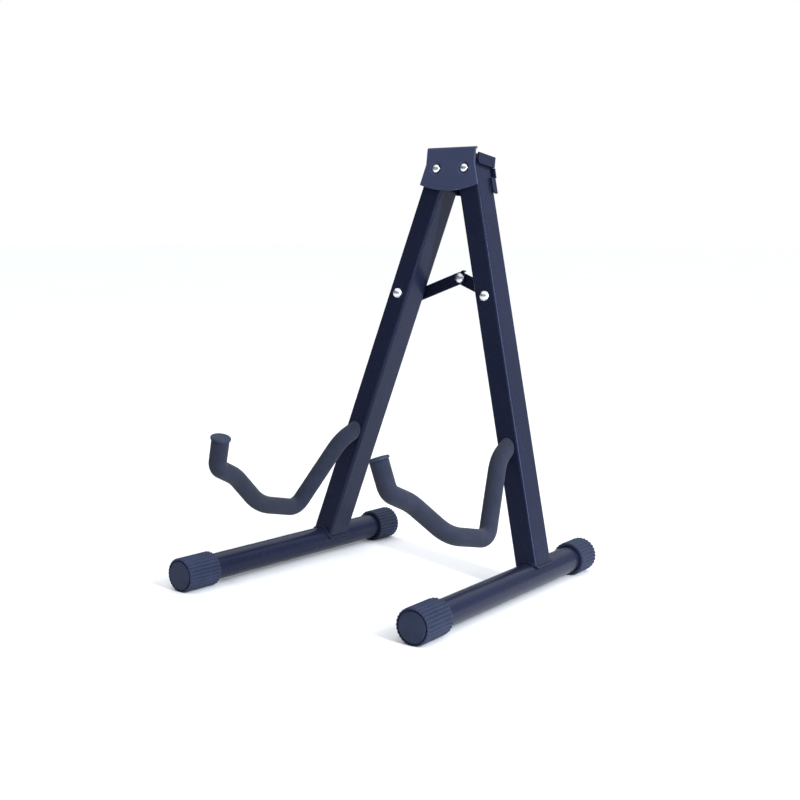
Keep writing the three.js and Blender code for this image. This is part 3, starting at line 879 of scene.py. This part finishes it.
def bent_strip(start, outside, front, bend, low_edge, high):
    """A strip of sheet that starts flat on the back plate and bends forward at x = outside.
    low_edge gives its lower edge from the distance past the start of the bend."""
    far = -PLATE_SETBACK - PLATE
    centre = (outside - bend, far + bend)
    path = [((start, far), (start, far + PLATE))]
    outer_arc = arc(centre, bend, -90, 0, 8)
    inner_arc = arc(centre, bend - PLATE, -90, 0, 8)
    path += list(zip(outer_arc, inner_arc))
    run = front - centre[1]
    path += [((outside, centre[1] + run * k / 24), (outside - PLATE, centre[1] + run * k / 24))
             for k in range(1, 25)]
    lengths = [0.0, 0.0]
    for (a, _), (b, _) in zip(path[1:], path[2:]):
        lengths.append(lengths[-1] + math.dist(a, b))
    total = lengths[-1]
    rings = []
    for (outer, inner), length in zip(path, lengths):
        low = low_edge(length, total)
        section = [
            *arc((EDGE, high - EDGE), EDGE, 180, 90, 3),
            *arc((PLATE - EDGE, high - EDGE), EDGE, 90, 0, 3),
            *arc((PLATE - EDGE, low + EDGE), EDGE, 0, -90, 3),
            *arc((EDGE, low + EDGE), EDGE, 270, 180, 3),
        ]
        rings.append([
            (outer[0] + (inner[0] - outer[0]) * depth / PLATE,
             -(outer[1] + (inner[1] - outer[1]) * depth / PLATE), z)
            for depth, z in section
        ])
    return loft(rings)


# ---- Rivets, washers and links ------------------------------------------------------------


def rivet(head, rise, head_seat, shank, tail, tail_rise, tail_seat):
    """Profile of a rivet with a domed head in front and a domed tail behind."""
    return [
        *reversed(dome(tail, tail_rise, tail_seat, -1)),
        (shank, tail_seat),
        (shank, head_seat),
        *dome(head, rise, head_seat, 1),
    ]


def washer(outer, inner, back, front):
    edge = 0.2
    return [
        (inner, back), (outer - edge, back), (outer, back + edge), (outer, front - edge),
        (outer - edge, front), (inner, front),
    ]


def hinge_hardware(side, name):
    face = PLATE_SETBACK + PLATE
    at_pivot = pivot_frame(side)
    pin = rivet(PIVOT_HEAD, 2, face - DIMPLE_DEPTH + GAP, PIVOT_SHANK, 5, 1.8, -face - GAP)
    piece(f"{name}_hinge_rivet", turned(pin), at_pivot, ZINC, f"{name}_pivot_rivet")
    near, far = LEG_DEPTH / 2 + GAP, PLATE_SETBACK - GAP
    hole = PIVOT_SHANK + GAP
    front = washer(WASHER_RADIUS, hole, near, far)
    piece(f"{name}_hinge_washer_front", turned(front, closed=True), at_pivot, NYLON,
          f"{name}_front_washer")
    rear = washer(WASHER_RADIUS, hole, -far, -near)
    piece(f"{name}_hinge_washer_rear", turned(rear, closed=True), at_pivot, NYLON,
          f"{name}_rear_washer")


def link_bar(front):
    """A flat bar with round ends, from its leg pivot to the knee."""
    outline = [
        *arc((LINK_LENGTH, 0), LINK_HALF, -90, 90, 24),
        *arc((0, 0), LINK_HALF, 90, 270, 24),
    ]
    return slab(outline, front - LINK_PLATE, front)


def left_link():
    tip = LINK_LENGTH + LINK_HALF + GAP
    back = LEFT_LINK_FRONT - LINK_PLATE
    nose = slab([(LINK_LENGTH + 3, 2), (tip, 2), (tip, LINK_HALF), (LINK_LENGTH + 3, LINK_HALF)],
                back, LEFT_LINK_FRONT)
    ear = slab([(tip - 1.9, 5), (tip, 5), (tip, LINK_HALF), (tip - 1.9, LINK_HALF)],
               RIGHT_LINK_FRONT - LINK_PLATE, LEFT_LINK_FRONT)
    bar = fused(link_bar(LEFT_LINK_FRONT), nose, ear)
    piece("left_spreader_bar", bar, link_frame(LEFT), PAINT, "left_link")


def spreader():
    left_link()
    piece("right_spreader_bar", link_bar(RIGHT_LINK_FRONT), link_frame(RIGHT), PAINT,
          "right_link")
    leg_back = -LEG_DEPTH / 2 - GAP
    head_seat = LEG_DEPTH / 2 + GAP
    left_pin = rivet(RIVET_HEAD, 3.8, head_seat, RIVET_SHANK, 4.4, 1.8,
                     LEFT_LINK_FRONT - LINK_PLATE - GAP)
    piece("left_spreader_rivet", turned(left_pin), link_pivot_frame(LEFT), ZINC,
          "left_link_rivet")
    right_pin = [(0, leg_back + 2 * GAP), (RIVET_SHANK, leg_back + 2 * GAP),
                 (RIVET_SHANK, head_seat), *dome(RIVET_HEAD, 3.8, head_seat, 1)]
    piece("right_spreader_rivet", turned(right_pin), link_pivot_frame(RIGHT), ZINC,
          "right_link_rivet")
    tail_seat = RIGHT_LINK_FRONT - LINK_PLATE - GAP
    tail = [*reversed(dome(4.4, 1.8, tail_seat, -1)), (RIVET_SHANK, tail_seat),
            (RIVET_SHANK, leg_back - GAP), (0, leg_back - GAP)]
    piece("right_spreader_rivet_tail", turned(tail), link_frame(RIGHT), ZINC,
          "right_link_rivet_tail")
    hole = RIVET_SHANK + GAP
    for name, side, front in (("left_link_washer", LEFT, LEFT_LINK_FRONT),
                              ("right_link_spacer", RIGHT, RIGHT_LINK_FRONT)):
        ring = washer(WASHER_RADIUS - 1, hole, front + GAP, leg_back)
        piece(f"{name}_ring", turned(ring, closed=True), link_frame(side), NYLON, name)
    knee = link_frame(LEFT) @ Matrix.Translation((LINK_LENGTH, 0, 0))
    pin = rivet(KNEE_HEAD, 2.2, LEFT_LINK_FRONT + GAP, KNEE_SHANK, 4.2, 1.6, tail_seat)
    piece("knee_pin", turned(pin), knee, ZINC, "knee_rivet")
    ring = washer(LINK_HALF - 0.7, KNEE_SHANK + GAP, RIGHT_LINK_FRONT + GAP,
                  LEFT_LINK_FRONT - LINK_PLATE - GAP)
    piece("knee_washer_ring", turned(ring, closed=True), knee, NYLON, "knee_washer")


# ---- Studio -------------------------------------------------------------------------------

AIM = Vector((0.0058, 0.0044, 0.1765))
AZIMUTH, ELEVATION = math.radians(36.966), math.radians(7.253)
DISTANCE, LENS = 1.2493, 59.18
COOL = (0.88, 0.93, 1.0)
FLOOR_HALF = 25.0
BRIGHT_SIDE = (0.58, 0.70, 0.42)
WORLD_RANGE = (-0.2, 0.85, 0.1, 0.75)
WORLD_COLOUR = (0.8, 0.88, 1.0)


def camera():
    data = bpy.data.cameras.new("camera")
    data.lens = LENS
    data.sensor_width = 36
    data.clip_start, data.clip_end = 0.05, 100
    obj = bpy.data.objects.new("camera", data)
    bpy.context.scene.collection.objects.link(obj)
    out = Vector((math.sin(AZIMUTH) * math.cos(ELEVATION),
                  -math.cos(AZIMUTH) * math.cos(ELEVATION), math.sin(ELEVATION)))
    obj.location = AIM + out * DISTANCE
    obj.rotation_euler = out.to_track_quat("Z", "Y").to_euler()
    bpy.context.scene.camera = obj


def area_light(name, place, size, power, colour=(1, 1, 1)):
    """A soft box that faces the middle of the stand."""
    data = bpy.data.lights.new(name, "AREA")
    data.shape = "RECTANGLE"
    data.size, data.size_y = size
    data.energy = power
    data.color = colour
    obj = bpy.data.objects.new(name, data)
    bpy.context.scene.collection.objects.link(obj)
    obj.location = place
    obj.rotation_euler = (Vector(place) - AIM).to_track_quat("Z", "Y").to_euler()


def sky_light(name, strength, spread):
    """An even, very soft light from straight above, so that the floor is one tone."""
    data = bpy.data.lights.new(name, "SUN")
    data.energy = strength
    data.angle = spread
    obj = bpy.data.objects.new(name, data)
    bpy.context.scene.collection.objects.link(obj)


def floor():
    bm = bmesh.new()
    half = FLOOR_HALF
    corners = [(-half, -half), (half, -half), (half, half), (-half, half)]
    bm.faces.new([bm.verts.new((x, y, 0)) for x, y in corners])
    mesh = bpy.data.meshes.new("studio_floor")
    bm.to_mesh(mesh)
    bm.free()
    finish = Finish("floor_paint", (0.86, 0.86, 0.87), 0.9)
    finish.colour(finish.ramp(finish.noise(400, 2), (0.3, 0.85), (0.7, 0.87)))
    mesh.materials.append(finish.material)
    obj = bpy.data.objects.new("studio_floor", mesh)
    bpy.context.scene.collection.objects.link(obj)


def surroundings():
    """White to look at. It lights the stand more from behind on the right than from in front
    on the left."""
    world = bpy.data.worlds.new("studio")
    world.use_nodes = True
    bpy.context.scene.world = world
    tree = world.node_tree
    tree.nodes.clear()
    place = tree.nodes.new("ShaderNodeTexCoord")
    lean = tree.nodes.new("ShaderNodeVectorMath")
    lean.operation = "DOT_PRODUCT"
    lean.inputs[1].default_value = BRIGHT_SIDE
    level = tree.nodes.new("ShaderNodeMapRange")
    level.interpolation_type = "SMOOTHSTEP"
    for socket, value in zip(("From Min", "From Max", "To Min", "To Max"), WORLD_RANGE):
        level.inputs[socket].default_value = value
    lit = tree.nodes.new("ShaderNodeBackground")
    seen = tree.nodes.new("ShaderNodeBackground")
    path = tree.nodes.new("ShaderNodeLightPath")
    mix = tree.nodes.new("ShaderNodeMixShader")
    out = tree.nodes.new("ShaderNodeOutputWorld")
    tree.links.new(place.outputs["Generated"], lean.inputs[0])
    tree.links.new(lean.outputs["Value"], level.inputs["Value"])
    tree.links.new(level.outputs["Result"], lit.inputs["Strength"])
    lit.inputs["Color"].default_value = (*WORLD_COLOUR, 1)
    seen.inputs["Color"].default_value = (1, 1, 1, 1)
    tree.links.new(path.outputs["Is Camera Ray"], mix.inputs["Fac"])
    tree.links.new(lit.outputs["Background"], mix.inputs[1])
    tree.links.new(seen.outputs["Background"], mix.inputs[2])
    tree.links.new(mix.outputs["Shader"], out.inputs["Surface"])


# ---- Assembly -----------------------------------------------------------------------------

for side_name, side_sign in SIDES:
    leg_tube(side_sign, side_name)
    leg_plug(side_sign, side_name)
    weld_bead(side_sign, side_name)
    base_tube(side_sign, side_name)
    foot_cap(side_sign, side_name, "front", FRONT_CAP_LENGTH)
    foot_cap(side_sign, side_name, "rear", REAR_CAP_LENGTH)
    arm_foam(side_sign, side_name)
    arm_tip_cap(side_sign, side_name)
    hinge_hardware(side_sign, side_name)
    frame["nodes"][f"{side_name}_arm_rod"].material_slots[0].material = PAINT
front_plate()
back_plate()
spreader()

camera()
floor()
surroundings()
sky_light("overhead", 2.6, math.radians(120))
area_light("right_strip", (2.0, -0.5, 0.7), (0.12, 1.9), 75, COOL)
area_light("right_box", (2.2, 0.5, 0.9), (1.2, 1.6), 17, COOL)
bpy.context.scene.view_settings.view_transform = "Standard"
